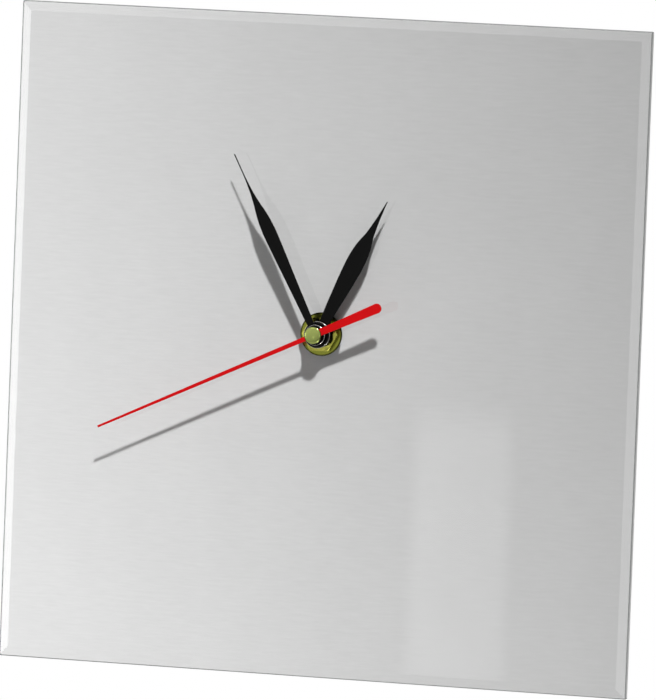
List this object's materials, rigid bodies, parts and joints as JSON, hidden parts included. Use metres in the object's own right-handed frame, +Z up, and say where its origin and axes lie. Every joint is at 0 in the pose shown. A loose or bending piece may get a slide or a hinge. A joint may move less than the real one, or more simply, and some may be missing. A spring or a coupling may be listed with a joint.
{
  "type": "quartz wall clock",
  "caption": "Frameless square glass wall clock with a plain grey face, leaf-shaped black hands, a red second hand and a battery quartz movement behind the glass.",
  "frame": {"origin": "where the axis of the hands meets the plane of the wall, on the outer face of the movement's back cover", "axes": "+Z up, -Y out of the wall towards the viewer, +X to the viewer's right; the hands turn clockwise, as seen from the front, about +Y"},
  "size_m": [0.3, 0.0362, 0.3],
  "materials": {
    "glass": "polished float glass",
    "print_film": "satin grey print",
    "black_rubber": "matt",
    "nut_brass": "turned, slightly tarnished",
    "cap_brass": "polished",
    "zinc_steel": "zinc plated",
    "steel_arbor": "ground",
    "case_plastic": "fine spark texture",
    "cover_plastic": "fine spark texture",
    "plate_plastic": "moulded",
    "wheel_plastic": "moulded",
    "knob_plastic": "moulded",
    "ferrite": "sintered",
    "motor_iron": "punched sheet",
    "bobbin_plastic": "moulded",
    "copper_wire": "enamelled winding",
    "board": "solder mask",
    "chip_resin": "cast resin",
    "crystal_metal": "drawn can",
    "contact_metal": "nickel plated",
    "battery_jacket": "plain jacket",
    "hand_black": "matt black lacquer",
    "collet_black": "satin black lacquer",
    "hand_red": "satin red lacquer"
  },
  "bodies": {
    "clock": {"glass_panel": "glass", "printed_backing": "print_film", "rubber_gasket": "black_rubber", "brass_washer": "nut_brass", "hex_nut": "nut_brass", "threaded_bushing": "nut_brass", "hanger_bracket": "zinc_steel", "movement_case": "case_plastic", "back_cover": "cover_plastic", "train_plate": "plate_plastic", "positive_contact": "contact_metal", "negative_contact": "contact_metal", "stator": "motor_iron", "coil_core": "motor_iron", "coil_bobbin": "bobbin_plastic", "coil_winding": "copper_wire", "circuit_board": "board", "driver_chip": "chip_resin", "crystal_can": "crystal_metal"},
    "battery": {"battery": "battery_jacket"},
    "second_hand": {"second_hand": "hand_red", "second_hand_tube": "cap_brass", "hand_cap": "cap_brass", "seconds_arbor": "steel_arbor", "seconds_wheel": "wheel_plastic"},
    "rotor": {"rotor_pinion": "wheel_plastic", "rotor_magnet": "ferrite"},
    "intermediate_wheel": {"intermediate_wheel": "wheel_plastic"},
    "third_wheel": {"third_wheel": "wheel_plastic"},
    "centre_wheel": {"centre_wheel": "wheel_plastic"},
    "minute_hand": {"minute_hand": "hand_black", "minute_collet": "collet_black", "cannon_pinion": "nut_brass"},
    "hour_hand": {"hour_hand": "hand_black", "hour_collet": "collet_black", "hour_wheel": "wheel_plastic"},
    "motion_wheel": {"motion_wheel": "wheel_plastic"},
    "setting_knob": {"setting_knob": "knob_plastic"}
  },
  "joints": [
    {"name": "second_hand_turn", "type": "hinge", "parent": "clock", "child": "second_hand", "pos_m": [0, 0, 0], "axis": [0, 1, 0], "continuous": true},
    {"name": "rotor_turn", "type": "hinge", "parent": "clock", "child": "rotor", "pos_m": [0.01419, 0, 0.00355], "axis": [0, 1, 0], "continuous": true},
    {"name": "intermediate_wheel_turn", "type": "hinge", "parent": "clock", "child": "intermediate_wheel", "pos_m": [0.00861, 0, 0.00152], "axis": [0, 1, 0], "continuous": true},
    {"name": "third_wheel_turn", "type": "hinge", "parent": "clock", "child": "third_wheel", "pos_m": [-0.00148, 0, 0.00837], "axis": [0, 1, 0], "continuous": true},
    {"name": "centre_wheel_turn", "type": "hinge", "parent": "clock", "child": "centre_wheel", "pos_m": [0, 0, 0], "axis": [0, 1, 0], "continuous": true},
    {"name": "minute_hand_turn", "type": "hinge", "parent": "clock", "child": "minute_hand", "pos_m": [0, 0, 0], "axis": [0, 1, 0], "continuous": true},
    {"name": "hour_hand_turn", "type": "hinge", "parent": "clock", "child": "hour_hand", "pos_m": [0, 0, 0], "axis": [0, 1, 0], "continuous": true},
    {"name": "motion_wheel_turn", "type": "hinge", "parent": "clock", "child": "motion_wheel", "pos_m": [-0.00789, 0, -0.00287], "axis": [0, 1, 0], "continuous": true},
    {"name": "setting_knob_turn", "type": "hinge", "parent": "clock", "child": "setting_knob", "pos_m": [-0.01629, 0, -0.00287], "axis": [0, 1, 0], "continuous": true},
    {"name": "battery_slide", "type": "slide", "parent": "clock", "child": "battery", "axis": [0, 1, 0], "range_m": [0, 0.02]}
  ],
  "couplings": [
    {"joint": "rotor_turn", "follows": "second_hand_turn", "ratio": 30},
    {"joint": "intermediate_wheel_turn", "follows": "second_hand_turn", "ratio": -6},
    {"joint": "third_wheel_turn", "follows": "second_hand_turn", "ratio": -0.13333},
    {"joint": "centre_wheel_turn", "follows": "second_hand_turn", "ratio": 0.016667},
    {"joint": "motion_wheel_turn", "follows": "minute_hand_turn", "ratio": -0.33333},
    {"joint": "hour_hand_turn", "follows": "minute_hand_turn", "ratio": 0.083333},
    {"joint": "setting_knob_turn", "follows": "minute_hand_turn", "ratio": 1}
  ]
}
